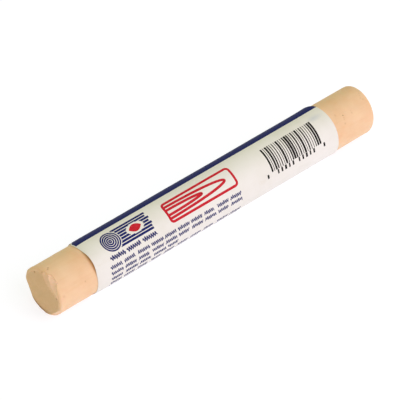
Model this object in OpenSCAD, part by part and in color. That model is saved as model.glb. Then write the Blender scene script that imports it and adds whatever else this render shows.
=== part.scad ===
// Furniture repair wax stick: a round bar of filler wax in a lapped paper label.
// The bar lies along X with its cut end at -X. Z is up, and the origin is on the ground below its middle.
// Angles round the bar start at the back (+Y) and run over the top (+Z) to the front (-Y).

/* [Wax bar] */
// Diameter of the bar
wax_d = 14.2; // [10:0.1:24]
// Length of the bar from the cut face to the moulded face
wax_len = 114.3; // [110:0.1:180]
// Rounding of the rim at the moulded end
mould_round = 1.4; // [0.4:0.1:4]
// Rounding of the rim at the cut end
cut_round = 0.9; // [0.1:0.05:1.5]

/* [Chipped rim] */
// Place round the rim of the large chip, in degrees
chip_deg = 130; // [0:1:359]
// How far the large chip reaches in from the rim across the cut face
chip_face = 2.3; // [0.5:0.1:4]
// How far the large chip reaches from the cut face along the bar
chip_side = 1.1; // [0.3:0.1:4]
// How far each small nick reaches in from the rim across the cut face
nick_face = 1.2; // [0.2:0.05:2]
// How far each small nick reaches from the cut face along the bar
nick_side = 1.2; // [0.2:0.05:2]

/* [Paper label] */
// Length of the label along the bar
label_len = 87.1; // [40:0.1:95]
// Bare wax between the cut face and the label
bare_cut = 12.8; // [4:0.1:15]
// Thickness of the paper
paper_t = 0.18; // [0.1:0.01:0.4]
// Width of the lap where the label covers its own edge
lap_w = 5; // [2:0.1:9]
// Place round the bar of the label's outer long edge, in degrees
lap_edge_deg = 295; // [0:1:359]
// Degrees over which the paper climbs on to its own edge
climb_deg = 12; // [9:0.5:14]

/* [Adhesive] */
// Thickness of the adhesive coat
glue_t = 0.08; // [0.05:0.01:0.2]
// Width left without adhesive at each end of the label
glue_margin = 1.5; // [0:0.1:6]
// Clearance between the wax and the adhesive coat
seat_gap = 0.01; // [0:0.005:0.05]

/* [Hidden] */
// Places round the rim of the small nicks, in degrees
nick_degs = [83, 327];
// How far the climbing strip runs into the paper on both sides of it, in degrees
weld_deg = 0.5;
// Share of a layer's thickness that the climbing strip stays inside it
weld_share = 0.06;
// Degrees by which the label's inner long edge stops short of the climb
edge_gap_deg = 2;
$fn = 96;

wax_r = wax_d / 2;
glue_r = wax_r + seat_gap;
paper_r = glue_r + glue_t;
label_r = paper_r + paper_t;
lap_step = paper_t + glue_t;
lap_deg = lap_w / (label_r + lap_step) * 180 / PI;
crest_deg = lap_edge_deg + lap_deg;
foot_deg = crest_deg + climb_deg;
turn_deg = 360 - climb_deg - edge_gap_deg;
glue_len = label_len - glue_margin - glue_margin;

// Lays a shape that stands on the cut face along the bar's axis on to its side
module lay_down() {
    translate([-wax_len / 2, 0, label_r]) rotate([90, 0, 90]) children();
}

function polar(radius, angle) = [radius * cos(angle), radius * sin(angle)];

// Half outline of the bar, with a round corner at both rims
module bar_outline() {
    square_top = wax_len - mould_round;
    translate([0, cut_round]) square([wax_r, square_top - cut_round]);
    square([wax_r - cut_round, square_top]);
    translate([wax_r - cut_round, cut_round]) circle(cut_round);
    translate([0, square_top]) square([wax_r - mould_round, mould_round]);
    translate([wax_r - mould_round, square_top]) circle(mould_round);
}

// Wedge that breaks the rim of the cut face along a flat facet
module rim_break(angle, face, side) {
    rotate([0, 0, angle]) rotate([90, 0, 0])
        linear_extrude(height = wax_d, center = true)
            polygon([
                [wax_r - face - face, -side],
                [wax_r + face, -side],
                [wax_r + face, side + side]
            ]);
}

// One sheet wound round the bar: a turn, a flat climb over its own edge and the lap
module wound_sheet(inner_r, thick, length) {
    inset = thick * weld_share;
    rotate_extrude(angle = turn_deg, start = foot_deg)
        translate([inner_r, 0]) square([thick, length]);
    rotate_extrude(angle = lap_deg, start = lap_edge_deg)
        translate([inner_r + lap_step, 0]) square([thick, length]);
    linear_extrude(height = length)
        polygon([
            polar(inner_r + inset, foot_deg + weld_deg),
            polar(inner_r + thick - inset, foot_deg + weld_deg),
            polar(inner_r + lap_step + thick - inset, crest_deg - weld_deg),
            polar(inner_r + lap_step + inset, crest_deg - weld_deg)
        ]);
}

// Cast bar of hard wax, moulded round at one end and cut and chipped at the other
module wax_stick() {
    color([0.96, 0.79, 0.63]) lay_down() difference() {
        rotate_extrude() bar_outline();
        rim_break(chip_deg, chip_face, chip_side);
        for (angle = nick_degs) rim_break(angle, nick_face, nick_side);
    }
}

// Printed paper label, wrapped once round the bar and lapped at the back
module paper_label() {
    color([0.95, 0.93, 0.9]) lay_down() translate([0, 0, bare_cut])
        wound_sheet(paper_r, paper_t, label_len);
}

// Adhesive on the back of the label, under the whole wrap and inside the lap
module label_adhesive() {
    color([0.85, 0.8, 0.65]) lay_down() translate([0, 0, bare_cut + glue_margin])
        wound_sheet(glue_r, glue_t, glue_len);
}

wax_stick();
paper_label();
label_adhesive();
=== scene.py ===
"""Dresses the furniture repair wax stick: a cast wax bar in a lapped, printed paper label."""

import logging
import math
from collections.abc import Callable, Mapping, Sequence
from dataclasses import asdict, dataclass
from enum import Enum
from functools import partial
from typing import Any

import bpy
import numpy as np
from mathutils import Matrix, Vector, noise


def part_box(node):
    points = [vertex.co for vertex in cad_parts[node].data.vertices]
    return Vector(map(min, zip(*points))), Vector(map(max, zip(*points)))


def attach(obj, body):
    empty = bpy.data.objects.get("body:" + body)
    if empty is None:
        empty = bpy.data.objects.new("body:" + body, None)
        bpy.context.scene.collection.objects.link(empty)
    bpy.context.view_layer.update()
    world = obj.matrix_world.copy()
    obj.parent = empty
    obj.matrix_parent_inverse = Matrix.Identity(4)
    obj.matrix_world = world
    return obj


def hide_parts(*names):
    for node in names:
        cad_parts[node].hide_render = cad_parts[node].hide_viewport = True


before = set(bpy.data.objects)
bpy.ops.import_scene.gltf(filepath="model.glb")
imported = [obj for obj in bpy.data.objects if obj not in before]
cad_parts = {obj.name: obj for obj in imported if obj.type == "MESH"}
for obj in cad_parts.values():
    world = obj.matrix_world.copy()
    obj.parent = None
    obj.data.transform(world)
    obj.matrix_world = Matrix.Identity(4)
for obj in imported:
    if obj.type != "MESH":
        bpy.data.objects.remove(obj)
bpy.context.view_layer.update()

# Sizes below are in millimetres unless they say otherwise, and become metres when a mesh is made.
MM = 0.001
# Edges sharper than this are not smoothed.
SHARP_DEGREES = 50.0
# The angle along the label's winding at the bar's front, a turn and a half.
FRONT_TURN = 540.0
BODY = "root"
LOG = logging.getLogger("repair_wax_stick")
Face = tuple[int, ...]
Adder = Callable[..., bpy.types.Node]


class Slot(Enum):
    """The record's material slots."""

    WAX = "filler_wax"
    PAPER = "label_paper"
    GLUE = "adhesive"


class Node(Enum):
    """The CAD solids of the part."""

    BAR = "wax_stick"
    LABEL = "paper_label"
    GLUE = "label_adhesive"


def linear(hex_code: str) -> tuple[float, float, float, float]:
    """Turns an sRGB hex colour to linear light.

    Args:
        hex_code: A colour such as "#F4C79B".

    Returns:
        Linear red, green and blue, and an alpha of one.
    """
    parts = [int(hex_code[i:i + 2], 16) / 255 for i in (1, 3, 5)]
    light = [c / 12.92 if c <= 0.04045 else ((c + 0.055) / 1.055) ** 2.4 for c in parts]
    return light[0], light[1], light[2], 1.0


def per_metre(size: float) -> float:
    """Gives a texture's scale for a pattern of this size in millimetres."""
    return 1.0 / (size * MM)


def feed(node: bpy.types.Node, inputs: Mapping[str | int, Any]) -> None:
    """Gives a node's inputs their values and links.

    Args:
        node: The node.
        inputs: For each input, by name or number, a value, a socket, or a node whose working output
            is meant.
    """
    for key, value in inputs.items():
        if isinstance(value, bpy.types.Node):
            value = next(socket for socket in value.outputs if socket.enabled)
        if isinstance(value, bpy.types.NodeSocket):
            node.id_data.links.new(value, node.inputs[key])
        else:
            node.inputs[key].default_value = value


def add_node(
    tree: bpy.types.NodeTree, kind: str, inputs: Mapping[str | int, Any] | None = None, **settings: Any
) -> bpy.types.Node:
    """Adds one node with its settings and its inputs.

    Args:
        tree: The shader or geometry tree.
        kind: The node's type.
        inputs: For each input, by name or number, a value or what it is linked to.
        settings: Values for the node's own properties.

    Returns:
        The new node.
    """
    node = tree.nodes.new(kind)
    for name, value in settings.items():
        setattr(node, name, value)
    feed(node, inputs or {})
    return node


def open_material(name: str) -> tuple[bpy.types.Material, bpy.types.Node, bpy.types.NodeSocket, Adder]:
    """Starts a material on Object coordinates.

    Args:
        name: The material's name.

    Returns:
        The material, its main shader node, the coordinates to draw patterns on, and what adds a node.
    """
    material = bpy.data.materials.new(name)
    material.use_nodes = True
    shader = material.node_tree.nodes["Principled BSDF"]
    add = partial(add_node, material.node_tree)
    return material, shader, add("ShaderNodeTexCoord").outputs["Object"], add


@dataclass(frozen=True)
class Slope:
    """A smooth change along a measure, such as a length or an angle: 0 up to low, the height from high."""

    low: float
    high: float
    height: float = 1.0

    def at(self, values: np.ndarray) -> np.ndarray:
        """Gives the change's value at each place along the measure."""
        t = np.clip((values - self.low) / (self.high - self.low), 0.0, 1.0)
        return self.height * t * t * (3.0 - 2.0 * t)


@dataclass(frozen=True)
class Hump:
    """A smooth hump along a measure: the height at its middle, 0 from its reach on either side."""

    middle: float
    reach: float
    height: float = 1.0

    def at(self, values: np.ndarray) -> np.ndarray:
        """Gives the hump's value at each place along the measure."""
        return self.height * (1.0 - Slope(0.0, self.reach).at(np.abs(values - self.middle)))


@dataclass(frozen=True)
class Ripple:
    """Smooth noise on a surface: its height, the width of one patch, and a seed that moves it."""

    height: float
    width: float
    seed: float

    def at(self, points: np.ndarray) -> np.ndarray:
        """Gives the noise, from about minus to plus the height, for points in the last axis."""
        flat = points.reshape(-1, 3) / self.width + self.seed
        return self.height * np.array([noise.noise(Vector(p)) for p in flat]).reshape(points.shape[:-1])


def fade(distance: np.ndarray, run: float) -> np.ndarray:
    """Is 1 up to a distance of 0 and dies away past it, to about a third for each run."""
    return np.exp(-np.maximum(distance, 0.0) / run)


def grid_faces(rows: int, columns: int, closed: bool) -> list[Face]:
    """Lists the quads of a grid whose vertices run along each row.

    Args:
        rows: The number of rows.
        columns: The number of vertices in a row.
        closed: True where each row is a ring.

    Returns:
        The faces, turned so that column then row gives the outside.
    """
    faces: list[Face] = []
    for row in range(rows - 1):
        for column in range(columns if closed else columns - 1):
            after = (column + 1) % columns
            low, high = row * columns, (row + 1) * columns
            faces.append((low + column, low + after, high + after, high + column))
    return faces


def closed_sheet(
    outer: np.ndarray, inner: np.ndarray, faces: Sequence[Face]
) -> tuple[np.ndarray, list[Face]]:
    """Closes a sheet between its outer and its inner surface.

    Args:
        outer: The outer surface's vertices.
        inner: The inner surface's vertices, in the same order.
        faces: The outer surface's faces.

    Returns:
        The vertices and faces of the closed sheet.
    """
    count = len(outer)
    edges = {(f[i], f[(i + 1) % len(f)]) for f in faces for i in range(len(f))}
    rim = [(a, b) for a, b in edges if (b, a) not in edges]
    under = [tuple(count + i for i in reversed(f)) for f in faces]
    walls = [(a, a + count, b + count, b) for a, b in sorted(rim)]
    return np.vstack([outer, inner]), [*faces, *under, *walls]


def new_piece(
    name: str, points: np.ndarray, faces: Sequence[Face], material: bpy.types.Material, slot: Slot
) -> bpy.types.Object:
    """Makes a piece of the object and lets it ride on the body.

    Args:
        name: The piece's name.
        points: Its vertices, in millimetres.
        faces: Its faces.
        material: Its finish.
        slot: The record's slot for that finish; not used.

    Returns:
        The piece, at the origin, with its place in its mesh.
    """
    mesh = bpy.data.meshes.new(name)
    mesh.from_pydata((points * MM).tolist(), [], list(faces))
    mesh.shade_smooth()
    mesh.set_sharp_from_angle(angle=math.radians(SHARP_DEGREES))
    mesh.materials.append(material)
    mesh.update()
    piece = bpy.data.objects.new(name, mesh)
    bpy.context.scene.collection.objects.link(piece)
    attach(piece, BODY)
    LOG.info("%s: %d vertices, %d faces", name, len(mesh.vertices), len(mesh.polygons))
    return piece


@dataclass(frozen=True)
class Clouds:
    """Cloudy noise and the share that it gives: from least to most, as the noise goes from low to high."""

    size_mm: float
    detail: float
    roughness: float
    low: float
    high: float
    least: float = 0.0
    most: float = 1.0

    def draw(self, add: Adder, coords: Any) -> tuple[bpy.types.Node, bpy.types.Node]:
        """Draws the clouds.

        Args:
            add: Adds a node to the material.
            coords: What gives the coordinates.

        Returns:
            The nodes that give the noise and the share.
        """
        texture = add("ShaderNodeTexNoise", {
            "Vector": coords, "Scale": per_metre(self.size_mm), "Detail": self.detail,
            "Roughness": self.roughness})
        share = add("ShaderNodeMapRange", {
            0: texture, 1: self.low, 2: self.high, 3: self.least, 4: self.most})
        return texture, share


@dataclass(frozen=True)
class FillerWax:
    """Cast filler wax, a waxy blend full of chalk: dull satin, a little light sinks in, faint clouds."""

    body: str = "#EAC198"
    pale: str = "#EFCCA6"
    dull: str = "#DDB387"
    # The grit colour, also painted shade in the creases and on the lower rim.
    grit_and_shade: str = "#8C5A2E"
    # A warm painted shade for the wax under the label's sprung edge.
    stain: str = "#EAA161"
    # The cut face's dull tint, also painted shade over the lower rim.
    cut: str = "#D9B284"
    # The fresh tint of the broken rim, also a painted highlight on the top of the rim.
    fresh: str = "#FFD4B5"
    clouds: Clouds = Clouds(6.0, detail=4.0, roughness=0.55, low=0.35, high=0.68)
    drag: Clouds = Clouds(0.8, detail=3.0, roughness=0.5, low=0.5, high=0.8, most=0.2)
    skin_mm: float = 0.35
    grit_mm: float = 2.4

    def material(self) -> bpy.types.Material:
        """Builds the wax: clouds of colour, drag lines along the bar, rare dark grit and a fine skin.

        Returns:
            The material.
        """
        material, shader, coords, add = open_material("cast_filler_wax")
        _, tone = self.clouds.draw(add, coords)
        # The mould drags faint lines along the bar, so this noise is long in X.
        along = add("ShaderNodeMapping", {"Vector": coords, "Scale": (0.06, 1.0, 1.0)})
        drag, streak = self.drag.draw(add, along)
        # The knife-cut face is dull from handling, and its dull tint runs out over the lower rim as painted
        # shade. The broken rim is clean and pale, with a painted highlight on the top of the rim. Pits hold
        # dirt, and painted shade darkens the creases of the breaks, the lower rim and, warmed, the wax
        # under the label's sprung edge.
        marks = {"cut": self.cut, "fresh": self.fresh, "stain": self.stain, "grime": self.grit_and_shade}
        marked = [
            (add("ShaderNodeAttribute", attribute_name=name).outputs["Fac"], coat)
            for name, coat in marks.items()]
        # Few of the cells hold a speck of grit, about a third of a millimetre wide.
        cells = add("ShaderNodeTexVoronoi", {"Vector": coords, "Scale": per_metre(self.grit_mm)})
        dot = add("ShaderNodeMapRange", {0: cells, 1: 0.05, 2: 0.1, 3: 0.55, 4: 0.0})
        split = add("ShaderNodeSeparateColor", {0: cells.outputs["Color"]})
        rare = add("ShaderNodeMath", {0: split, 1: 0.86}, operation="GREATER_THAN")
        speck = add("ShaderNodeMath", {0: dot, 1: rare}, operation="MULTIPLY")
        colour: Any = linear(self.body)
        for share, coat in [(tone, self.pale), (streak, self.dull), *marked, (speck, self.grit_and_shade)]:
            colour = add("ShaderNodeMix", {0: share, 6: colour, 7: linear(coat)}, data_type="RGBA")
        gloss = add("ShaderNodeMapRange", {0: drag, 1: 0.3, 2: 0.75, 3: 0.5, 4: 0.68})
        # The skin's own grain is too fine to show, so it is drawn coarser.
        skin = add("ShaderNodeTexNoise", {
            "Vector": coords, "Scale": per_metre(self.skin_mm), "Detail": 3.0, "Roughness": 0.6})
        rough = add("ShaderNodeBump", {"Height": skin, "Strength": 0.25, "Distance": 0.06 * MM})
        grooved = add("ShaderNodeBump", {
            "Height": drag, "Strength": 0.2, "Distance": 0.08 * MM, "Normal": rough})
        feed(shader, {
            "Base Color": colour, "Roughness": gloss, "Normal": grooved, "IOR": 1.44,
            "Specular IOR Level": 0.35, "Subsurface Weight": 0.25,
            "Subsurface Radius": (1.0, 0.55, 0.3), "Subsurface Scale": 0.9 * MM})
        return material


@dataclass(frozen=True)
class LabelPaper:
    """Coated label paper, machine-made: smooth and white, faint fibre clouds, a little handling dirt."""

    sheet: str = "#E9E6E0"
    shade: str = "#E0DCD2"
    dirt: str = "#D6C9B0"
    smudge: str = "#B9C0CC"
    clouds: Clouds = Clouds(9.0, detail=5.0, roughness=0.6, low=0.4, high=0.7, most=0.6)
    smears: Clouds = Clouds(3.5, detail=6.0, roughness=0.7, low=0.62, high=0.8, most=0.4)
    fibres: Clouds = Clouds(
        0.5, detail=3.0, roughness=0.5, low=0.3, high=0.7, least=0.42, most=0.56)
    smudge_place: tuple[float, float, float] = (38.8, -1.35, 14.65)
    smudge_half: tuple[float, float, float] = (3.2, 1.3, 1.3)

    def material(self) -> bpy.types.Material:
        """Builds the paper: clouded white, smears of dirt, one ink smudge and a fibre skin.

        Returns:
            The material.
        """
        material, shader, coords, add = open_material("coated_label_paper")
        _, tone = self.clouds.draw(add, coords)
        moved = add("ShaderNodeMapping", {
            "Vector": coords, "Scale": (0.5, 1.0, 1.0), "Location": (0.013, 0.007, 0.021)})
        dirt, dirty = self.smears.draw(add, moved)
        # One rubbed spot of ink is near the far end.
        spot = add("ShaderNodeMapping", {
            "Vector": coords, "Location": tuple(c * MM for c in self.smudge_place),
            "Scale": tuple(c * MM for c in self.smudge_half)}, vector_type="TEXTURE")
        ball = add("ShaderNodeTexGradient", {"Vector": spot}, gradient_type="SPHERICAL")
        patchy = add("ShaderNodeMath", {0: ball.outputs["Fac"], 1: dirt}, operation="MULTIPLY")
        colour: Any = linear(self.sheet)
        for share, coat in [(tone, self.shade), (dirty, self.dirt), (patchy, self.smudge)]:
            colour = add("ShaderNodeMix", {0: share, 6: colour, 7: linear(coat)}, data_type="RGBA")
        # Paper's own fibres are too fine to show, so these are drawn coarser.
        fibre, gloss = self.fibres.draw(add, coords)
        rough = add("ShaderNodeBump", {"Height": fibre, "Strength": 0.15, "Distance": 0.03 * MM})
        feed(shader, {
            "Base Color": colour, "Roughness": gloss, "Normal": rough, "IOR": 1.5,
            "Specular IOR Level": 0.4})
        return material


@dataclass(frozen=True)
class PrintInk:
    """Offset ink on coated paper: an even film with faint clouds and a slightly closed, satin surface."""

    name: str
    full: str
    thin: str
    clouds: Clouds = Clouds(1.2, detail=5.0, roughness=0.65, low=0.4, high=0.75)

    def material(self) -> bpy.types.Material:
        """Builds the ink: the full tone with thinner clouds, glossier where the film is full.

        Returns:
            The material.
        """
        material, shader, coords, add = open_material(self.name)
        _, film = self.clouds.draw(add, coords)
        inked = add("ShaderNodeMix", {
            0: film, 6: linear(self.full), 7: linear(self.thin)}, data_type="RGBA")
        gloss = add("ShaderNodeMapRange", {0: film, 1: 0.0, 2: 1.0, 3: 0.55, 4: 0.68})
        feed(shader, {"Base Color": inked, "Roughness": gloss, "IOR": 1.5, "Specular IOR Level": 0.08})
        return material


@dataclass(frozen=True)
class LabelGlue:
    """Dried label glue, rolled on thin: a clear, slightly yellow, glossy film with roller streaks."""

    film: str = "#E9D9B0"
    thick: str = "#D8BE86"
    streaks: Clouds = Clouds(
        1.5, detail=4.0, roughness=0.5, low=0.3, high=0.7, least=0.25, most=0.45)

    def material(self) -> bpy.types.Material:
        """Builds the glue: yellowish film with darker streaks and a gloss that changes with them.

        Returns:
            The material.
        """
        material, shader, coords, add = open_material("dried_label_glue")
        streak, gloss = self.streaks.draw(add, coords)
        toned = add("ShaderNodeMix", {
            0: streak, 6: linear(self.film), 7: linear(self.thick)}, data_type="RGBA")
        feed(shader, {"Base Color": toned, "Roughness": gloss, "IOR": 1.47})
        return material


@dataclass(frozen=True)
class LightTable:
    """Opal acrylic light table: an even matt white, lit from below, that softens the shadow."""

    sheet: str = "#AAAAA9"
    haze: str = "#A6A6A5"
    lamp: str = "#F7F7FF"
    glow: float = 0.76
    cloud_mm: float = 60.0

    def material(self) -> bpy.types.Material:
        """Builds the table: matt opal with the faintest clouds and an even white glow.

        Returns:
            The material.
        """
        material, shader, coords, add = open_material("opal_light_table")
        cloud = add("ShaderNodeTexNoise", {
            "Vector": coords, "Scale": per_metre(self.cloud_mm), "Detail": 2.0})
        toned = add("ShaderNodeMix", {
            0: cloud, 6: linear(self.sheet), 7: linear(self.haze)}, data_type="RGBA")
        feed(shader, {
            "Base Color": toned, "Roughness": 0.8, "Specular IOR Level": 0.1,
            "Emission Color": linear(self.lamp), "Emission Strength": self.glow})
        return material


@dataclass(frozen=True)
class Skin:
    """A turned surface by ring and side, with its axis at zero: vertices, normals and what shaped them."""

    points: np.ndarray
    normals: np.ndarray
    station: np.ndarray
    radius: np.ndarray
    along: np.ndarray
    out: np.ndarray
    degrees: np.ndarray

    @classmethod
    def turned(cls, profile: np.ndarray, sides: int) -> "Skin":
        """Turns a profile round the axis.

        Args:
            profile: A row for each ring: station, radius, and the normal along the axis and out from it.
            sides: The number of vertices in a ring.

        Returns:
            The surface, whose degrees run from the back over the top.
        """
        station, radius, along, out = profile.T[:, :, None]
        angles = np.linspace(0.0, math.tau, sides, endpoint=False)[None, :]
        y, z = np.cos(angles), np.sin(angles)
        points = np.stack([station + 0.0 * y, radius * y, radius * z], axis=-1)
        normals = np.stack([along + 0.0 * y, out * y, out * z], axis=-1)
        return cls(points, normals, station, radius, along, out, np.degrees(angles))


@dataclass(frozen=True)
class Pit:
    """A small dent in the bar, by its station from the cut face, degrees and inset from the side."""

    station: float
    degrees: float
    width: float
    depth: float
    dirt: float
    inset: float = 0.0

    def share(self, points: np.ndarray, radius: float) -> np.ndarray:
        """Tells how near points are to the pit's middle.

        Args:
            points: Points of the bar, with its axis at zero.
            radius: The bar's radius.

        Returns:
            A value for each point, from 0 to 1 at the middle.
        """
        angle, reach = math.radians(self.degrees), radius - self.inset
        middle = np.array([self.station, reach * math.cos(angle), reach * math.sin(angle)])
        return np.exp(-((np.linalg.norm(points - middle, axis=-1) / self.width) ** 2))


@dataclass(frozen=True)
class Facet:
    """A flat side of a break, which leaves the cut face on a straight line and slopes into the bar."""

    degrees: float
    start: float
    slope: float

    def depth(self, y: np.ndarray, z: np.ndarray) -> np.ndarray:
        """Measures how far the facet lies below the cut face.

        Args:
            y: Places across the face.
            z: Places up the face, from the bar's middle.

        Returns:
            The depth, negative before the line for a slope that falls and past it for one that rises.
        """
        angle = math.radians(self.degrees)
        return self.slope * (y * math.cos(angle) + z * math.sin(angle) - self.start)


@dataclass(frozen=True)
class Break:
    """A piece broken from the cut rim. The shallowest of its facets is its floor at each place."""

    facets: tuple[Facet, ...]
    fresh: float = 1.0
    shoulder: float = 0.12

    def depth(self, y: np.ndarray, z: np.ndarray) -> np.ndarray:
        """Measures how far the break goes in below the cut face.

        Args:
            y: Places across the face.
            z: Places up the face, from the bar's middle.

        Returns:
            The depth, which is negative where the break doesn't reach.
        """
        floor = self.facets[0].depth(y, z)
        for facet in self.facets[1:]:
            other = facet.depth(y, z)
            floor = 0.5 * (floor + other - np.sqrt((floor - other) ** 2 + self.shoulder ** 2))
        return floor


@dataclass(frozen=True)
class RimPatch:
    """A patch of the cut rim, by its degrees, its inset from the side and how far it turns to the face."""

    degrees: Hump
    inset: Hump
    turn: Slope

    def share(self, skin: Skin, radius: float) -> np.ndarray:
        """Tells how far the patch covers each vertex.

        Args:
            skin: The bar's skin.
            radius: The bar's radius.

        Returns:
            A value for each vertex, from 0 to the height of the patch.
        """
        inset = self.inset.at(radius - skin.radius)
        return self.degrees.at(skin.degrees) * inset * self.turn.at(-skin.along)


@dataclass(frozen=True)
class CutEnd:
    """The knife-cut end: a scored face, a rough, broken rim, what handling did to both, and painted shade
    and highlight on the rim.
    """

    radius: float
    # The knife's scores, and the dish that it left in the face.
    score: float = 0.02
    score_pace: float = 7.5
    score_way: tuple[float, float] = (0.8, 0.6)
    score_wander: Ripple = Ripple(0.4, 3.0, 8.8)
    dish: Hump = Hump(0.0, 6.0, 0.05)
    # The rim: rough all round, drawn out to a burr behind and left sharp in front.
    rim_run: Hump = Hump(0.3, 1.5)
    rim_width: float = 1.2
    rim_ripples: tuple[Ripple, ...] = (Ripple(0.16, 1.5, 23.0), Ripple(0.08, 0.6, 37.0))
    burr: Hump = Hump(20.0, 45.0, 0.3)
    sharp: Hump = Hump(198.0, 62.0, 0.17)
    # The pieces broken from the rim. A lip of the side still stands beside the largest.
    lip: Facet = Facet(160.0, 6.4, -8.0)
    breaks: tuple[Break, ...] = (
        Break((Facet(117.0, 3.6, 0.15), Facet(151.0, 2.9, 0.5), lip), fresh=0.4, shoulder=0.03),
        Break((Facet(124.0, 4.3, 0.42), Facet(152.0, 4.3, 1.5), lip)),
        Break((Facet(83.0, 6.3, 0.6),), fresh=0.0),
        Break((Facet(334.0, 5.92, 1.8),), fresh=0.0),
        Break((Facet(224.0, 6.2, 1.0),), fresh=0.6))
    break_run: float = 4.0
    crag_top: float = 0.102
    crag: Ripple = Ripple(0.34, 1.6, 41.0)
    crumb: Ripple = Ripple(0.07, 0.5, 17.0)
    crag_start: Slope = Slope(0.05, 0.4)
    fresh_start: Slope = Slope(-0.03, 0.06)
    # Painted shade darkens the crease where a break runs out on the side.
    crease: Hump = Hump(-0.06, 0.24, 0.4)
    crease_start: Slope = Slope(0.35, 0.6)
    crease_lip: Hump = Hump(0.0, 2.0)
    # Broken rings keep a little of their spacing, so that no face collapses.
    spacing: float = 0.02
    # Handling has dulled the face. The dull tint also runs out over the rim as painted shade, darkening the
    # lower rim, but for two stretches of the rim that stay clean.
    clean: tuple[Hump, ...] = (Hump(165.0, 60.0), Hump(70.0, 60.0, 0.85))
    dull_wander: Ripple = Ripple(0.06, 1.2, 29.0)
    dull_and_shaded_rim: Slope = Slope(0.05, 0.3)
    clean_rim: Slope = Slope(0.8, 0.96)
    dullness: float = 0.92
    dull_ripples: tuple[Ripple, ...] = (Ripple(0.2, 2.2, 13.0), Ripple(0.18, 0.6, 19.0))
    # Painted shade darkens the lower rim, where the contact shadow falls, and a painted highlight makes the
    # top of the rim pale.
    lower_rim_shade: RimPatch = RimPatch(
        degrees=Hump(284.0, 58.0, 0.95), inset=Hump(0.75, 1.0), turn=Slope(0.2, 0.7))
    top_rim_highlight: RimPatch = RimPatch(
        degrees=Hump(64.0, 46.0, 0.17), inset=Hump(0.6, 0.9), turn=Slope(0.1, 0.5))

    def roughen(self, skin: Skin) -> np.ndarray:
        """Adds up the knife's scores on the face and the unevenness of the rim.

        Args:
            skin: The bar's skin.

        Returns:
            The move of each vertex along its normal.
        """
        sweep = skin.points[:, :, 1:] @ np.array(self.score_way) + self.score_wander.at(skin.points)
        scores = self.score * np.sin(self.score_pace * sweep) - self.dish.at(skin.radius)
        rim = self.rim_run.at(skin.station) * Hump(self.radius, self.rim_width).at(skin.radius)
        # The burr straddles the back, where the degrees start again.
        uneven = self.burr.at(skin.degrees) + self.burr.at(skin.degrees - 360.0)
        for ripple in self.rim_ripples:
            uneven = uneven + ripple.at(skin.points)
        corner = np.maximum(-2.0 * skin.along * skin.out, 0.0)
        on_face = skin.along == -1.0
        return np.where(on_face, scores, 0.0) + rim * uneven + corner * self.sharp.at(skin.degrees)

    def crumble(self, points: np.ndarray) -> tuple[np.ndarray, np.ndarray]:
        """Breaks the rim away.

        Args:
            points: The vertices by ring and side, which are moved.

        Returns:
            How fresh each vertex is, and how dark the painted shade is in the crease where a break runs out
            on the side.
        """
        y, z = points[:, :, 1], points[:, :, 2]
        crags = self.crag_top - np.abs(self.crag.at(points)) + self.crumb.at(points)
        fresh = np.zeros(points.shape[:2])
        dark = np.zeros(points.shape[:2])
        for gap in self.breaks:
            station = points[:, :, 0]
            depth = gap.depth(y, z)
            depth = np.where(station < self.break_run, depth + crags * self.crag_start.at(depth), -1.0)
            over = depth - station
            fresh = np.maximum(fresh, gap.fresh * self.fresh_start.at(over))
            # Painted shade darkens the crease.
            foot = np.maximum(self.crease_start.at(station), self.crease_lip.at(self.lip.depth(y, z)))
            dark = np.maximum(dark, gap.fresh * self.crease.at(over) * foot)
            points[:, :, 0] = np.maximum(station, depth + self.spacing * station)
        return fresh, dark

    def dull(self, skin: Skin) -> np.ndarray:
        """Tells how far handling has dulled the face, and how far the same tint paints shade over the lower
        rim.

        Args:
            skin: The bar's skin.

        Returns:
            A value for each vertex, from 0 to about 1.
        """
        clean = np.max([stretch.at(skin.degrees) for stretch in self.clean], axis=0)
        inset = np.where(skin.along < 0.0, self.radius - skin.radius, 0.0)
        inset = inset + self.dull_wander.at(skin.points)
        share = (1.0 - clean) * self.dull_and_shaded_rim.at(inset) + clean * self.clean_rim.at(inset)
        return share * sum((ripple.at(skin.points) for ripple in self.dull_ripples), self.dullness)


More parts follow.
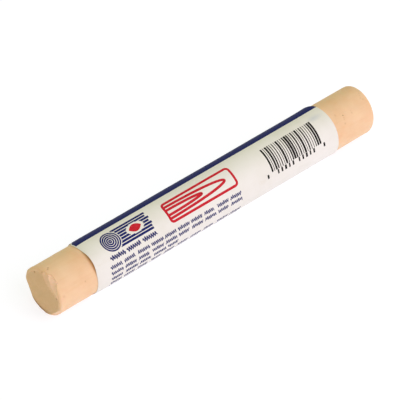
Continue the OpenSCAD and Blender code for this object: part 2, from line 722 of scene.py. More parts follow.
@dataclass
class WaxBar:
    """The cast bar, with a moulded round end, a knife-cut end and casting marks."""

    start: float
    end: float
    radius: float
    height: float
    covered: tuple[float, float]
    cut_round: float = 0.9
    mould_round: float = 1.25
    mould_tilt: float = 3.3
    mould_way: tuple[float, float] = (0.35, 0.85)
    mould_reach: float = 0.2
    mould_run: float = 9.0
    step: float = 0.17
    sides: int = 288
    round_rings: int = 11
    hidden_rings: int = 14
    hidden_margin: float = 2.0
    smooth_run: float = 1.4
    # Casting left the bar rippled, a little oval and shrunk.
    ripples: tuple[Ripple, ...] = (
        Ripple(0.05, 8.0, 3.1), Ripple(0.025, 2.6, 11.7), Ripple(0.007, 0.7, 5.3))
    oval: float = 0.03
    oval_phase: float = 0.7
    shrink: float = 0.02
    # Painted shade, warmed as by light bounced between wax and paper, darkens the wax under the label's
    # sprung edge.
    stain: Hump = Hump(136.0, 36.0, 0.6)
    gap_shade_run: Hump = Hump(0.3, 1.0)
    pits: tuple[Pit, ...] = (
        Pit(2.15, 88.5, 0.2, 0.16, 0.7), Pit(1.7, 92.0, 0.18, 0.14, 0.6),
        Pit(0.08, 57.5, 0.24, 0.2, 0.85, inset=1.3), Pit(0.2, 88.0, 0.26, 0.2, 0.35, inset=0.6),
        Pit(0.05, 168.0, 0.2, 0.1, 0.6, inset=1.4), Pit(1.5, 164.0, 0.4, 0.12, 0.15),
        Pit(6.0, 20.0, 0.5, 0.1, 0.3), Pit(9.0, 158.0, 0.2, 0.08, 0.3),
        Pit(102.1, 119.0, 0.35, 0.07, 0.15), Pit(103.7, 147.0, 0.25, 0.08, 0.25),
        Pit(104.25, 128.3, 0.16, 0.22, 0.85), Pit(104.1, 134.0, 0.18, 0.06, 0.2),
        Pit(104.0, 138.0, 0.17, 0.05, 0.18), Pit(107.2, 128.0, 0.18, 0.05, 0.14),
        Pit(107.2, 133.0, 0.2, 0.07, 0.24), Pit(108.0, 330.0, 0.4, 0.12, 0.4),
        Pit(112.6, 102.0, 0.2, 0.06, 0.16), Pit(112.3, 108.0, 0.2, 0.06, 0.14),
        Pit(112.0, 114.0, 0.22, 0.07, 0.16), Pit(112.4, 119.0, 0.22, 0.07, 0.2))

    @property
    def length(self) -> float:
        """Gives the bar's length."""
        return self.end - self.start

    def profile(self) -> np.ndarray:
        """Lists the bar's rings from the middle of the cut face to the middle of the moulded face.

        Returns:
            A row for each ring: station, radius, and the normal along the bar and out from it.
        """
        cut, mould = self.cut_round, self.mould_round
        quarter = np.radians(np.linspace(0.0, 90.0, self.round_rings))
        rows = [(0.0, r, -1.0, 0.0) for r in np.arange(self.step, self.radius - cut, self.step)]
        for turn in quarter:
            rise, back = math.sin(turn), math.cos(turn)
            rows.append((cut * (1 - back), self.radius + cut * (rise - 1), -back, rise))
        # The label hides most of the side, which has few rings there.
        low, high = self.covered[0] + self.hidden_margin, self.covered[1] - self.hidden_margin
        sides = [
            np.arange(cut, low, self.step)[1:], np.linspace(low, high, self.hidden_rings),
            np.arange(high, self.length - mould, self.step)[1:]]
        rows += [(s, self.radius, 0.0, 1.0) for s in np.concatenate(sides)]
        for turn in quarter[::-1]:
            rise, out = math.sin(turn), math.cos(turn)
            rows.append((self.length - mould * (1 - out), self.radius + mould * (rise - 1), out, rise))
        inward = np.arange(self.step, self.radius - mould, self.step)[::-1]
        rows += [(self.length, r, 1.0, 0.0) for r in inward]
        return np.array(rows)

    def cast(self, skin: Skin, end: CutEnd) -> np.ndarray:
        """Moves the skin as casting, the knife and handling did, and leaves it plain under the label.

        Args:
            skin: The plain skin.
            end: The cut end.

        Returns:
            The vertices by ring and side, with the moulded face a little askew.
        """
        low, high = self.covered
        bare = np.maximum(
            1.0 - Slope(low, low + self.smooth_run).at(skin.station),
            Slope(high - self.smooth_run, high).at(skin.station))
        move = self.oval * np.sin(2.0 * np.radians(skin.degrees) + self.oval_phase) - self.shrink
        for ripple in self.ripples:
            move = move + ripple.at(skin.points)
        for pit in self.pits:
            move = move - pit.depth * pit.share(skin.points, self.radius)
        move = bare * (move + end.roughen(skin))
        points = skin.points + skin.normals * move[:, :, None]
        ended = Slope(self.length - self.mould_run, self.length).at(skin.station)
        lean = math.tan(math.radians(self.mould_tilt)) * (points[:, :, 1:] @ np.array(self.mould_way))
        points[:, :, 0] += ended * (lean + self.mould_reach)
        return points

    def shape(self) -> tuple[np.ndarray, dict[str, np.ndarray]]:
        """Works out the cast and broken bar, ring by ring.

        Returns:
            Its vertices by ring and side, with the axis at zero, and how far each is cut (with painted
            shade over the lower rim), fresh (with a painted highlight on the top of the rim), darkened by
            a warm painted shade under the label's edge, and dirty or darkened by painted shade in the
            creases and on the lower rim.
        """
        skin = Skin.turned(self.profile(), self.sides)
        end = CutEnd(self.radius)
        points = self.cast(skin, end)
        fresh, grime = end.crumble(points)
        # Painted shade on the lower rim, where the contact shadow falls.
        grime = grime + end.lower_rim_shade.share(skin, self.radius)
        for pit in self.pits:
            grime = grime + pit.dirt * pit.share(skin.points, self.radius)
        return points, {
            "cut": end.dull(skin),
            # The fresh tint also paints a highlight on the top of the rim.
            "fresh": np.maximum(fresh, end.top_rim_highlight.share(skin, self.radius)),
            # Warm painted shade under the label's sprung edge.
            "stain": self.stain.at(skin.degrees) * self.gap_shade_run.at(skin.station - self.covered[0]),
            "grime": np.clip(grime, 0.0, 1.0)}

    def build(self, finish: FillerWax) -> None:
        """Makes the bar, which stands for the CAD bar.

        Args:
            finish: The wax.
        """
        rings, tints = self.shape()
        count, sides = rings.shape[:2]
        poles = np.array([rings[0].mean(axis=0), rings[-1].mean(axis=0)])
        points = np.vstack([rings.reshape(-1, 3), poles]) + np.array([self.start, 0.0, self.height])
        faces = grid_faces(count, sides, closed=True)
        first, last, top = count * sides, count * sides + 1, (count - 1) * sides
        for side in range(sides):
            after = (side + 1) % sides
            faces += [(first, after, side), (top + side, top + after, last)]
        piece = new_piece("wax_bar", points, faces, finish.material(), Slot.WAX)
        for name, values in tints.items():
            shades = piece.data.attributes.new(name, "FLOAT", "POINT")
            ends = [values[0].mean(), values[-1].mean()]
            shades.data.foreach_set("value", np.append(values.ravel(), ends).astype(np.float32))
        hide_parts(Node.BAR.value)


@dataclass
class PaperLabel:
    """The paper sheet, wound once round the bar, which climbs over its own edge and laps behind.

    Angles along the winding start at the flap's edge, lap_edge. The front is where the winding has reached
    FRONT_TURN, and degrees above it run up over the top of the bar.
    """

    start: float
    end: float
    radius: float
    height: float
    thick: float = 0.18
    glue: float = 0.08
    lap: float = 5.0
    lap_edge: float = 295.0
    climb: float = 12.0
    climb_ease: float = 2.0
    edge_gap: float = 2.0
    # How the sheet lies: the near edge sprung and crushed, the far edge slack, the bottom pressed flat.
    near_lift: float = 0.6
    near_run: float = 1.6
    sprung_from: Slope = Slope(14.0, 52.0)
    sprung_to: Slope = Slope(58.0, 88.0)
    bite: float = 0.19
    bite_run: float = 1.2
    far_lift: float = 0.02
    far_run: float = 0.6
    slack: Hump = Hump(128.0, 46.0, 0.24)
    slack_run: float = 5.0
    flap_lift: float = 0.1
    flap_run: float = 4.0
    flap_sway: float = 0.3
    flap_wave: float = 7.0
    wave: float = 0.02
    wave_mm: float = 5.3
    wave_turns: tuple[float, float] = (31.0, 17.0)
    pressed: Hump = Hump(630.0, 50.0)
    crush: float = 0.15
    crush_run: float = 0.4
    # How the ends were trimmed: a little askew, and set back behind.
    skew: float = 0.25
    skew_middle: float = 47.0
    skew_span: float = 396.0
    near_back: Slope = Slope(116.0, 140.0, 1.5)
    near_out: tuple[Hump, ...] = (Hump(104.0, 24.0, 0.15), Hump(32.0, 30.0, 0.06))
    far_back: Slope = Slope(104.0, 146.0, 1.5)
    trim: float = 0.06
    trim_turns: tuple[float, float] = (13.0, 19.0)
    trim_phase: float = 1.0
    turn_step: float = 1.2
    edge_run: float = 2.4
    edge_step: float = 0.15
    bend_run: float = 7.0
    bend_step: float = 0.5
    middle_count: int = 50

    @property
    def crest(self) -> float:
        """Gives the angle at which the flap has reached its full height."""
        return self.lap_edge + math.degrees(self.lap / (self.radius + self.thick + self.glue))

    def lift(self, station: np.ndarray, turn: np.ndarray) -> np.ndarray:
        """Measures how far the sheet stands off its glued place.

        Args:
            station: Places along the bar.
            turn: Angles along the winding.

        Returns:
            The lift: the sprung near edge, the eased far edge, the flap's edge and slow waves.
        """
        front = FRONT_TURN - turn
        inside, left = station - self.start, self.end - station
        sprung = self.sprung_from.at(front) * (1.0 - self.sprung_to.at(front)) * fade(inside, self.near_run)
        slack = self.far_lift * fade(left, self.far_run) + self.slack.at(front) * fade(left, self.slack_run)
        bitten = self.bite * (1.0 - sprung) * fade(inside, self.bite_run)
        slow, fast = self.wave_turns
        swing = np.sin(station / self.wave_mm + turn / slow) * np.sin(turn / fast)
        loose = self.near_lift * sprung + slack + self.wave * (1.0 + swing) - bitten
        sway = 1.0 - self.flap_sway + self.flap_sway * np.sin(station / self.flap_wave)
        flap = self.flap_lift * fade(turn - self.lap_edge, self.flap_run) * sway
        climbing = Slope(self.crest - self.climb_ease, self.crest + self.climb + self.climb_ease).at(turn)
        layer = (self.thick + self.glue) * (1.0 - climbing)
        return layer + flap + loose * (1.0 - self.pressed.at(turn))

    def place(self, station: np.ndarray, turn: np.ndarray, above: float | np.ndarray) -> np.ndarray:
        """Puts points of the flat sheet on the bar.

        Args:
            station: Places along the bar.
            turn: Angles along the winding.
            above: How far above the sheet's outer face, negative for below.

        Returns:
            The points, in rows.
        """
        reach = self.radius + self.lift(station, turn) + above
        angle = np.radians(turn)
        points = np.stack([station, reach * np.cos(angle), self.height + reach * np.sin(angle)], axis=-1)
        return points.reshape(-1, 3)

    def ends(self, turn: np.ndarray) -> tuple[np.ndarray, np.ndarray]:
        """Gives where the hand-trimmed sheet starts and ends along the bar.

        Args:
            turn: Angles along the winding.

        Returns:
            The stations of the near and the far edge.
        """
        front = FRONT_TURN - turn
        skew = self.skew * (front - self.skew_middle) / self.skew_span
        near = self.near_back.at(front) + self.trim * np.sin(turn / self.trim_turns[0])
        for bulge in self.near_out:
            near = near - bulge.at(front)
        far = self.trim * np.sin(turn / self.trim_turns[1] + self.trim_phase) - self.far_back.at(front)
        return self.start + near - skew, self.end + far - skew

    def stations(self) -> np.ndarray:
        """Lists the places along the sheet, closer together near its ends.

        Returns:
            Shares of its length, from 0 at the near edge to 1 at the far edge.
        """
        length = self.end - self.start
        edge = np.arange(0.0, self.edge_run, self.edge_step)
        near = np.append(edge, np.arange(self.edge_run, self.bend_run, self.bend_step))
        middle = np.linspace(self.bend_run, length - self.bend_run, self.middle_count)
        return np.concatenate([near, middle, (length - near)[::-1]]) / length

    def build(self, finish: LabelPaper) -> None:
        """Makes the sheet, which stands for the CAD label.

        Args:
            finish: The paper.
        """
        last = self.crest + 360.0 - self.edge_gap
        turns = np.linspace(self.lap_edge, last, int((last - self.lap_edge) / self.turn_step) + 1)
        share, turn = np.meshgrid(self.stations(), turns, indexing="ij")
        near, far = self.ends(turn)
        station = near + share * (far - near)
        # The trimming knife has crushed the near edge thin.
        under = self.thick - self.crush * fade(station - near, self.crush_run)
        outer, inner = self.place(station, turn, 0.0), self.place(station, turn, -under)
        points, faces = closed_sheet(outer, inner, grid_faces(*share.shape, closed=False))
        piece = new_piece("label_sheet", points, faces, finish.material(), Slot.PAPER)
        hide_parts(Node.LABEL.value)


Flat = tuple[np.ndarray, list[Face]]


class PrintTree:
    """A geometry tree that draws one kind of print flat, from named sizes."""

    def __init__(self, name: str, sizes: Mapping[str, Any]) -> None:
        """Opens the tree.

        Args:
            name: The tree's name.
            sizes: Its inputs by name: a whole number, a length or a place.
        """
        sockets = {int: "NodeSocketInt", float: "NodeSocketFloat", tuple: "NodeSocketVector"}
        self.sizes = dict(sizes)
        self.group = bpy.data.node_groups.new(name, "GeometryNodeTree")
        for key, value in sizes.items():
            self.group.interface.new_socket(name=key, in_out="INPUT", socket_type=sockets[type(value)])
        self.group.interface.new_socket(name="ink", in_out="INPUT", socket_type="NodeSocketMaterial")
        self.group.interface.new_socket(name="print", in_out="OUTPUT", socket_type="NodeSocketGeometry")
        self.inputs = self.group.nodes.new("NodeGroupInput").outputs
        self.add = partial(add_node, self.group)

    def spread(
        self, points: bpy.types.Node, shape: bpy.types.Node, size: Any = (1.0, 1.0, 1.0)
    ) -> bpy.types.Node:
        """Sets a copy of a shape on each point.

        Args:
            points: The node that gives the points.
            shape: The node that gives the shape.
            size: How much larger a copy is, as a value or the node that gives it.

        Returns:
            The node that gives the copies.
        """
        copies = self.add("GeometryNodeInstanceOnPoints", {
            "Points": points, "Instance": shape, "Scale": size})
        return self.add("GeometryNodeRealizeInstances", {0: copies})

    def ribbon(self, curves: bpy.types.Node) -> bpy.types.Node:
        """Turns flat curves to flat ribbons as wide as the stroke input.

        Args:
            curves: The node that gives the curves.

        Returns:
            The node that gives the ribbons.
        """
        width = self.add("ShaderNodeCombineXYZ", {0: self.inputs["stroke"]})
        unit = self.add("GeometryNodeCurvePrimitiveLine", {
            "Start": (-0.5, 0.0, 0.0), "End": (0.5, 0.0, 0.0)})
        line = self.add("GeometryNodeTransform", {"Geometry": unit, "Scale": width})
        level = self.add("GeometryNodeSetCurveNormal", {"Curve": curves}, mode="Z_UP")
        return self.add("GeometryNodeCurveToMesh", {"Curve": level, "Profile Curve": line})

    def draw(self, ink: bpy.types.Material, *shapes: bpy.types.Node) -> Flat:
        """Closes the tree, evaluates it on an empty object and takes the result as a plain mesh.

        Args:
            ink: The material of the print.
            shapes: The nodes that give the print's shapes.

        Returns:
            Flat vertices and faces, all facing up.
        """
        whole = self.add("GeometryNodeJoinGeometry")
        for shape in shapes:
            feed(whole, {0: shape})
        real = self.add("GeometryNodeRealizeInstances", {0: whole})
        inked = self.add("GeometryNodeSetMaterial", {"Geometry": real, "Material": self.inputs["ink"]})
        self.add("NodeGroupOutput", {0: inked})
        holder = bpy.data.objects.new(self.group.name, bpy.data.meshes.new(self.group.name))
        bpy.context.scene.collection.objects.link(holder)
        modifier = holder.modifiers.new("draw", "NODES")
        modifier.node_group = self.group
        for item in self.group.interface.items_tree:
            if item.in_out == "INPUT":
                modifier[item.identifier] = ink if item.name == "ink" else self.sizes[item.name]
        graph = bpy.context.evaluated_depsgraph_get()
        mesh = bpy.data.meshes.new_from_object(holder.evaluated_get(graph), depsgraph=graph)
        holder.modifiers.remove(modifier)
        bpy.data.objects.remove(holder)
        points = np.array([v.co[:] for v in mesh.vertices])
        faces = [tuple(p.vertices)[::1 if p.normal.z > 0 else -1] for p in mesh.polygons]
        bpy.data.meshes.remove(mesh)
        return points, faces


@dataclass(frozen=True)
class BarRow:
    """A row of upright bars of random width, most of them thin, which stand on one line."""

    count: int
    step: tuple[float, float, float]
    least: float
    largest: float
    height: float
    seed: int
    slices: int = 26
    thinning: float = 1.4

    def draw(self, ink: bpy.types.Material) -> Flat:
        """Draws the bars from the first one's foot.

        Args:
            ink: The ink.

        Returns:
            The flat print.
        """
        tree = PrintTree("bar_row", asdict(self))
        add, sizes = tree.add, tree.inputs
        feet = add("GeometryNodeMeshLine", {"Count": sizes["count"], "Offset": sizes["step"]})
        chance = add("FunctionNodeRandomValue", {"Seed": sizes["seed"]}, data_type="FLOAT")
        thin = add("ShaderNodeMath", {0: chance, 1: sizes["thinning"]}, operation="POWER")
        width = add("ShaderNodeMapRange", {0: thin, 3: sizes["least"], 4: sizes["largest"]})
        size = add("ShaderNodeCombineXYZ", {0: width, 1: sizes["height"], 2: 1.0})
        plate = add("GeometryNodeMeshGrid", {
            "Size X": 1.0, "Size Y": 1.0, "Vertices X": 2, "Vertices Y": sizes["slices"]})
        bar = add("GeometryNodeTransform", {"Geometry": plate, "Translation": (0.0, 0.5, 0.0)})
        return tree.draw(ink, tree.spread(feet, bar, size))


@dataclass(frozen=True)
class LogMark:
    """A sawn log: growth rings on its end, stripes of bark along its side, and a window in the bark."""

    rings: int = 5
    ring_sides: int = 72
    pith: float = 0.32
    growth: float = 0.6
    drift: tuple[float, float, float] = (0.04, 0.0, 0.0)
    stroke: float = 0.42
    rows: int = 7
    pitch: float = 0.84
    stripe: float = 0.62
    slices: int = 90
    lanes: int = 4
    end: float = 3.35
    shortest: float = 13.2
    longest: float = 14.1
    window: tuple[float, float, float] = (8.6, 0.0, 0.0)
    window_half: tuple[float, float, float] = (2.9, 1.6, 1.0)
    seed: int = 4

    def draw(self, ink: bpy.types.Material) -> Flat:
        """Draws the log from the middle of its end.

        Args:
            ink: The ink.

        Returns:
            The flat print.
        """
        own = asdict(self)
        pitch = own.pop("pitch")
        top = 0.5 * (self.rows - 1) * pitch
        tree = PrintTree("log_mark", own | {"top": (0.0, top, 0.0), "step": (0.0, -pitch, 0.0)})
        add, sizes = tree.add, tree.inputs
        middles = add("GeometryNodeMeshLine", {"Count": sizes["rings"], "Offset": sizes["drift"]})
        index = add("GeometryNodeInputIndex")
        radius = add("ShaderNodeMath", {
            0: index, 1: sizes["growth"], 2: sizes["pith"]}, operation="MULTIPLY_ADD")
        circle = add("GeometryNodeCurvePrimitiveCircle", {"Resolution": sizes["ring_sides"], "Radius": 1.0})
        rings = tree.ribbon(tree.spread(middles, circle, radius))
        starts = add("GeometryNodeMeshLine", {
            "Count": sizes["rows"], "Start Location": sizes["top"], "Offset": sizes["step"]})
        length = add("FunctionNodeRandomValue", {
            2: sizes["shortest"], 3: sizes["longest"], "Seed": sizes["seed"]}, data_type="FLOAT")
        size = add("ShaderNodeCombineXYZ", {0: length, 1: sizes["stripe"], 2: 1.0})
        plate = add("GeometryNodeMeshGrid", {
            "Size X": 1.0, "Size Y": 1.0, "Vertices X": sizes["slices"], "Vertices Y": sizes["lanes"]})
        stripe = add("GeometryNodeTransform", {"Geometry": plate, "Translation": (0.5, 0.0, 0.0)})
        bark = tree.spread(starts, stripe, size)
        # Bark is taken away round the log's end and inside the window.
        place = add("GeometryNodeInputPosition")
        from_end = add("ShaderNodeVectorMath", {0: place}, operation="LENGTH")
        on_end = add("ShaderNodeMath", {0: from_end, 1: sizes["end"]}, operation="LESS_THAN")
        moved = add("ShaderNodeVectorMath", {0: place, 1: sizes["window"]}, operation="SUBTRACT")
        share = add("ShaderNodeVectorMath", {0: moved, 1: sizes["window_half"]}, operation="DIVIDE")
        from_window = add("ShaderNodeVectorMath", {0: share}, operation="LENGTH")
        in_window = add("ShaderNodeMath", {0: from_window, 1: 1.0}, operation="LESS_THAN")
        either = add("ShaderNodeMath", {0: on_end, 1: in_window}, operation="MAXIMUM")
        kept = add("GeometryNodeDeleteGeometry", {"Geometry": bark, "Selection": either}, domain="FACE")
        return tree.draw(ink, rings, kept)

    def patch(self, share: float = 0.72, slices: int = 28, tip: float = 0.02) -> Flat:
        """Draws the pointed patch that fills the window, placed as the log is.

        Args:
            share: How much of the window it takes up, along and across.
            slices: How many slices it has along.
            tip: The width of its points, as a share of its own.

        Returns:
            The flat print.
        """
        along = np.linspace(-1.0, 1.0, slices + 1)
        half = np.maximum(1.0 - along ** 2, tip)
        rows = [np.stack([along, side * half, 0.0 * along], axis=-1) for side in (-1.0, -0.33, 0.33, 1.0)]
        points = np.vstack(rows) * share * np.array(self.window_half) + np.array(self.window)
        return points, grid_faces(len(rows), slices + 1, closed=False)


@dataclass(frozen=True)
class GrainBoard:
    """A flat-sawn board: an outline with round corners and pointed arches of grain inside it."""

    length: float = 23.6
    height: float = 5.6
    corner: float = 0.9
    corner_sides: int = 8
    fineness: float = 0.25
    stroke: float = 0.72
    arches: int = 2
    arch_sides: int = 96
    arch_length: float = 20.6
    arch_height: float = 3.5
    length_step: float = -8.2
    height_step: float = -2.0

    def draw(self, ink: bpy.types.Material) -> Flat:
        """Draws the board round its middle.

        Args:
            ink: The ink.

        Returns:
            The flat print.
        """
        tree = PrintTree("grain_board", asdict(self) | {"left": (-0.5 * self.length, 0.0, 0.0)})
        add, sizes = tree.add, tree.inputs
        box = add("GeometryNodeCurvePrimitiveQuadrilateral", {
            "Width": sizes["length"], "Height": sizes["height"]})
        rounded = add("GeometryNodeFilletCurve", {
            "Curve": box, "Radius": sizes["corner"], "Count": sizes["corner_sides"]}, mode="POLY")
        outline = add("GeometryNodeResampleCurve", {
            "Curve": rounded, "Length": sizes["fineness"]}, mode="LENGTH")
        feet = add("GeometryNodeMeshLine", {
            "Count": sizes["arches"], "Start Location": sizes["left"], "Offset": (0.0, 0.0, 0.0)})
        index = add("GeometryNodeInputIndex")
        long = add("ShaderNodeMath", {
            0: index, 1: sizes["length_step"], 2: sizes["arch_length"]}, operation="MULTIPLY_ADD")
        tall = add("ShaderNodeMath", {
            0: index, 1: sizes["height_step"], 2: sizes["arch_height"]}, operation="MULTIPLY_ADD")
        size = add("ShaderNodeCombineXYZ", {0: long, 1: tall, 2: 1.0})
        # The arch is one unit long and high, and its handles draw it to a point.
        arch = add("GeometryNodeCurvePrimitiveBezierSegment", {
            "Resolution": sizes["arch_sides"], "Start": (0.0, -0.5, 0.0), "End": (0.0, 0.5, 0.0),
            "Start Handle": (1.33, -0.42, 0.0), "End Handle": (1.33, 0.42, 0.0)})
        grain = tree.spread(feet, arch, size)
        return tree.draw(ink, tree.ribbon(outline), tree.ribbon(grain))


@dataclass(frozen=True)
class BlindText:
    """Blind small print: rows of crimped strokes of random length, with no letters in them."""

    words: int
    rows: int
    pitch: float
    seed: int
    leading: float = 1.8
    swing: float = 0.52
    wave: float = 0.56
    stroke: float = 0.21
    fineness: float = 0.045
    # Shares of the pitch, shares of the swing, and how often the swing changes in a wave.
    lengths: tuple[float, float] = (0.7, 0.9)
    swings: tuple[float, float] = (0.5, 1.3)
    changes: float = 1.3

    def draw(self, ink: bpy.types.Material) -> Flat:
        """Draws the rows from the start of the first one.

        Args:
            ink: The ink.

        Returns:
            The flat print.
        """
        tree = PrintTree("blind_text", {
            "words": self.words, "rows": self.rows, "word_step": (self.pitch, 0.0, 0.0),
            "row_step": (0.0, -self.leading, 0.0), "shortest": self.lengths[0] * self.pitch,
            "longest": self.lengths[1] * self.pitch, "low": self.swings[0] * self.swing,
            "high": self.swings[1] * self.swing, "turns": math.tau / self.wave,
            "unevenness": self.changes / self.wave, "stroke": self.stroke, "fineness": self.fineness,
            "seed": self.seed})
        add, sizes = tree.add, tree.inputs
        lines = add("GeometryNodeMeshLine", {"Count": sizes["rows"], "Offset": sizes["row_step"]})
        row = add("GeometryNodeMeshLine", {"Count": sizes["words"], "Offset": sizes["word_step"]})
        length = add("FunctionNodeRandomValue", {
            2: sizes["shortest"], 3: sizes["longest"], "Seed": sizes["seed"]}, data_type="FLOAT")
        size = add("ShaderNodeCombineXYZ", {0: length, 1: 1.0, 2: 1.0})
        line = add("GeometryNodeCurvePrimitiveLine", {"End": (1.0, 0.0, 0.0)})
        strokes = tree.spread(tree.spread(lines, row), line, size)
        dense = add("GeometryNodeResampleCurve", {
            "Curve": strokes, "Length": sizes["fineness"]}, mode="LENGTH")
        # Each stroke swings up and down, and a noise along the row, of about 0.25 to 0.75, changes how far.
        place = add("GeometryNodeInputPosition")
        along = add("ShaderNodeSeparateXYZ", {0: place})
        phase = add("ShaderNodeMath", {0: along, 1: sizes["turns"]}, operation="MULTIPLY")
        swung = add("ShaderNodeMath", {0: phase}, operation="SINE")
        uneven = add("ShaderNodeTexNoise", {"Vector": place, "Scale": sizes["unevenness"], "Detail": 0.0})
        tall = add("ShaderNodeMapRange", {0: uneven, 1: 0.25, 2: 0.75, 3: sizes["low"], 4: sizes["high"]})
        rise = add("ShaderNodeMath", {0: swung, 1: tall}, operation="MULTIPLY")
        offset = add("ShaderNodeCombineXYZ", {1: rise})
        wavy = add("GeometryNodeSetPosition", {"Geometry": dense, "Offset": offset})
        return tree.draw(ink, tree.ribbon(wavy))


def joined(parts: Sequence[tuple[Flat, float, float]]) -> Flat:
    """Joins flat prints, each moved along and up.

    Args:
        parts: The prints with their moves.

    Returns:
        One flat print.
    """
    points: list[np.ndarray] = []
    faces: list[Face] = []
    count = 0
    for (flat, shapes), along, up in parts:
        points.append(flat + np.array([along, up, 0.0]))
        faces += [tuple(i + count for i in shape) for shape in shapes]
        count += len(flat)
    return np.vstack(points), faces


@dataclass
class LabelPrint:
    """The ink on the label: a band, a log, a board, blind small print and a strip of bars.

    A place is the station of a print's origin and its degrees above the bar's front.
    """

    label: PaperLabel
    film: float = 0.012
    root: float = 0.03
    band_edges: tuple[float, float] = (164.0, 103.0)
    band_margins: tuple[float, float] = (0.35, 0.04)
    band_lanes: int = 46
    log_place: tuple[float, float] = (-36.2, 68.5)
    board_place: tuple[float, float] = (-5.4, 59.5)
    caption_place: tuple[float, float] = (-38.8, 36.0)
    text_place: tuple[float, float] = (-39.7, 18.5)
    text_drops: tuple[float, ...] = (0.0, 3.6, 5.5)
    bars_place: tuple[float, float] = (18.4, 22.3)
    tally_place: tuple[float, float] = (16.6, 11.5)
    tally_groups: tuple[float, float] = (3.7, 11.5)
    tally_ends: tuple[float, float] = (0.0, 20.9)
    tally_rise: float = 0.1

    def lay(
        self, name: str, station: np.ndarray, turn: np.ndarray, faces: Sequence[Face],
        ink: bpy.types.Material
    ) -> None:
        """Lays a closed film of ink on the label.

        Args:
            name: The piece's name.
            station: Its vertices' places along the bar.
            turn: Their angles along the winding.
            faces: Its faces.
            ink: The ink.
        """
        outer = self.label.place(station, turn, self.film)
        inner = self.label.place(station, turn, -self.root)
        points, shell = closed_sheet(outer, inner, faces)
        new_piece(name, points, shell, ink, Slot.PAPER)

    def stamp(self, name: str, flat: Flat, place: tuple[float, float], ink: bpy.types.Material) -> None:
        """Wraps a flat print on to the label.

        Args:
            name: The piece's name.
            flat: Flat vertices and faces, X along the bar and Y up its front.
            place: Its place.
            ink: The ink.
        """
        points, faces = flat
        turn = FRONT_TURN - place[1] - np.degrees(points[:, 1] / self.label.radius)
        self.lay(name, place[0] + points[:, 0], turn, faces, ink)

    def band(self, ink: bpy.types.Material) -> None:
        """Prints the band that runs the length of the label, over the top of the bar.

        Args:
            ink: The ink.
        """
        turns = FRONT_TURN - np.linspace(*self.band_edges, self.band_lanes)
        share, turn = np.meshgrid(self.label.stations(), turns, indexing="ij")
        near, far = self.label.ends(turn)
        begin, end = near + self.band_margins[0], far - self.band_margins[1]
        faces = grid_faces(*share.shape, closed=False)
        self.lay("ink_band", begin + share * (end - begin), turn, faces, ink)

    def build(self) -> None:
        """Prints the label."""
        navy = PrintInk("navy_offset_ink", "#1C2464", "#262D6C").material()
        red = PrintInk("red_offset_ink", "#C31E2C", "#CE3440").material()
        black = PrintInk("black_offset_ink", "#161414", "#242222").material()
        log = LogMark()
        self.band(navy)
        self.stamp("ink_log", log.draw(navy), self.log_place, navy)
        self.stamp("ink_log_patch", log.patch(), self.log_place, red)
        self.stamp("ink_grain_board", GrainBoard().draw(red), self.board_place, red)
        caption = BlindText(words=3, rows=1, pitch=5.6, seed=3, swing=0.55, wave=0.7, stroke=0.3)
        self.stamp("ink_caption", caption.draw(navy), self.caption_place, navy)
        texts = (
            BlindText(words=10, rows=2, pitch=4.7, seed=11), BlindText(words=5, rows=1, pitch=4.9, seed=23),
            BlindText(words=10, rows=2, pitch=4.7, seed=31))
        rows = joined([(text.draw(navy), 0.0, -drop) for text, drop in zip(texts, self.text_drops)])
        self.stamp("ink_small_print", rows, self.text_place, navy)
        # The bars' widths are random, so the strip says nothing.
        bars = BarRow(count=24, step=(0.78, 0.0, 0.0), least=0.18, largest=0.72, height=7.1, seed=12)
        self.stamp("ink_bars", bars.draw(black), self.bars_place, black)
        few = BarRow(count=5, step=(1.38, 0.0, 0.0), least=0.45, largest=0.8, height=1.3, seed=2, slices=6)
        one = BarRow(count=1, step=(1.0, 0.0, 0.0), least=0.6, largest=0.6, height=1.15, seed=2, slices=6)
        group, lone = few.draw(black), one.draw(black)
        tally = [(group, along, 0.0) for along in self.tally_groups]
        tally += [(lone, along, self.tally_rise) for along in self.tally_ends]
        self.stamp("ink_tally", joined(tally), self.tally_place, black)


@dataclass(frozen=True)
class Softbox:
    """A square soft light, by its direction from the object in degrees, its distance and its size."""

    name: str
    azimuth: float
    elevation: float
    distance: float
    size: float
    power: float
    colour: str

    def hang(self, target: Vector) -> None:
        """Hangs the light so that it faces the target.

        Args:
            target: The point to light.
        """
        light = bpy.data.lights.new(self.name, "AREA")
        light.shape = "SQUARE"
        light.size = self.size
        light.energy = self.power
        light.color = linear(self.colour)[:3]
        lamp = bpy.data.objects.new(self.name, light)
        away = direction(self.azimuth, self.elevation)
        lamp.location = target + away * self.distance
        lamp.rotation_euler = (-away).to_track_quat("-Z", "Y").to_euler()
        bpy.context.scene.collection.objects.link(lamp)


def direction(azimuth: float, elevation: float) -> Vector:
    """Gives the direction from the object to a viewer or light; azimuth 0 is the front, 90 the right."""
    a, e = math.radians(azimuth), math.radians(elevation)
    return Vector((math.sin(a) * math.cos(e), -math.cos(a) * math.cos(e), math.sin(e)))


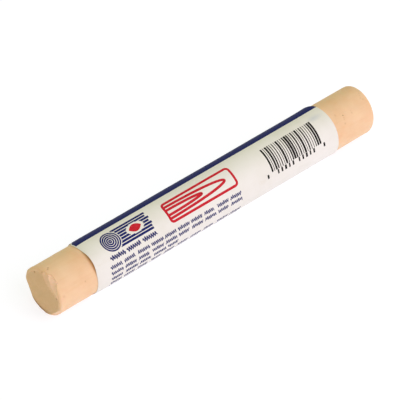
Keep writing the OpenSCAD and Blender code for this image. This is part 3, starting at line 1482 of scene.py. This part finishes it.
@dataclass
class Studio:
    """The pale table, the soft lights and the camera."""

    height: float
    azimuth: float = -42.4
    elevation: float = 39.9
    distance: float = 0.8282
    focal_px: float = 3079.0
    image_px: float = 400.0
    middle_px: tuple[float, float] = (205.6, 197.1)
    sensor: float = 36.0
    floor_half: float = 3.0
    ambient: str = "#FFFECA"
    ambient_strength: float = 0.4825
    lights: tuple[Softbox, ...] = (
        Softbox("front_softbox", 15.0, 35.0, 1.2, 1.2, 9.54, "#EEDCFF"),
        Softbox("top_softbox", 60.0, 85.0, 1.2, 1.2, 3.21, "#DBFBFF"))

    def lay_floor(self) -> None:
        """Lays the light table under the stick."""
        half = self.floor_half
        mesh = bpy.data.meshes.new("light_table")
        corners = [(-half, -half, 0.0), (half, -half, 0.0), (half, half, 0.0), (-half, half, 0.0)]
        mesh.from_pydata(corners, [], [(0, 1, 2, 3)])
        mesh.materials.append(LightTable().material())
        floor = bpy.data.objects.new("light_table", mesh)
        bpy.context.scene.collection.objects.link(floor)

    def light(self) -> None:
        """Sets the even surrounding light and hangs the softboxes."""
        scene = bpy.context.scene
        scene.view_settings.view_transform = "Standard"
        world = bpy.data.worlds.new("studio_surround")
        scene.world = world
        world.use_nodes = True
        surround = world.node_tree.nodes["Background"]
        surround.inputs["Color"].default_value = linear(self.ambient)
        surround.inputs["Strength"].default_value = self.ambient_strength
        for softbox in self.lights:
            softbox.hang(Vector((0.0, 0.0, self.height * MM)))

    def aim_camera(self) -> None:
        """Aims a long lens at the stick from the photograph's angle and frames it as there."""
        back = direction(self.azimuth, self.elevation)
        right = Vector((0.0, 0.0, 1.0)).cross(back).normalized()
        up = back.cross(right)
        centre = Vector((0.0, 0.0, self.height * MM))
        off = [(self.image_px / 2 - c) * self.distance / self.focal_px for c in self.middle_px]
        target = centre + right * off[0] - up * off[1]
        lens = bpy.data.cameras.new("camera")
        lens.sensor_width = self.sensor
        lens.lens = self.focal_px / self.image_px * self.sensor
        lens.clip_end = 20.0
        camera = bpy.data.objects.new("camera", lens)
        camera.location = centre + back * self.distance
        camera.rotation_euler = (target - camera.location).to_track_quat("-Z", "Y").to_euler()
        bpy.context.scene.collection.objects.link(camera)
        bpy.context.scene.camera = camera

    def build(self) -> None:
        """Sets up the table, the lights and the camera."""
        self.lay_floor()
        self.light()
        self.aim_camera()


def corners(node: Node) -> tuple[np.ndarray, np.ndarray]:
    """Gives a CAD node's lowest and highest corner in millimetres."""
    low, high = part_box(node.value)
    return np.array(low) / MM, np.array(high) / MM


def dress_glue() -> None:
    """Gives the CAD glue film, which stays, its finish."""
    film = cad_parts[Node.GLUE.value]
    glue = LabelGlue().material()
    for slot in film.material_slots:
        slot.material = glue
    LOG.info("%s: kept, with a new finish", Node.GLUE.value)


def main() -> None:
    """Builds the stick's pieces in order, then the studio."""
    logging.basicConfig(level=logging.INFO, format="%(name)s: %(message)s")
    bar_low, bar_high = corners(Node.BAR)
    label_low, label_high = corners(Node.LABEL)
    height = float(bar_low[2] + bar_high[2]) / 2
    covered = (float(label_low[0] - bar_low[0]), float(label_high[0] - bar_low[0]))
    radius = float(bar_high[2] - bar_low[2]) / 2
    bar = WaxBar(float(bar_low[0]), float(bar_high[0]), radius, height, covered)
    bar.build(FillerWax())
    dress_glue()
    label = PaperLabel(float(label_low[0]), float(label_high[0]), height - float(label_low[2]), height)
    label.build(LabelPaper())
    LabelPrint(label).build()
    Studio(height).build()


if __name__ == "__main__":
    main()
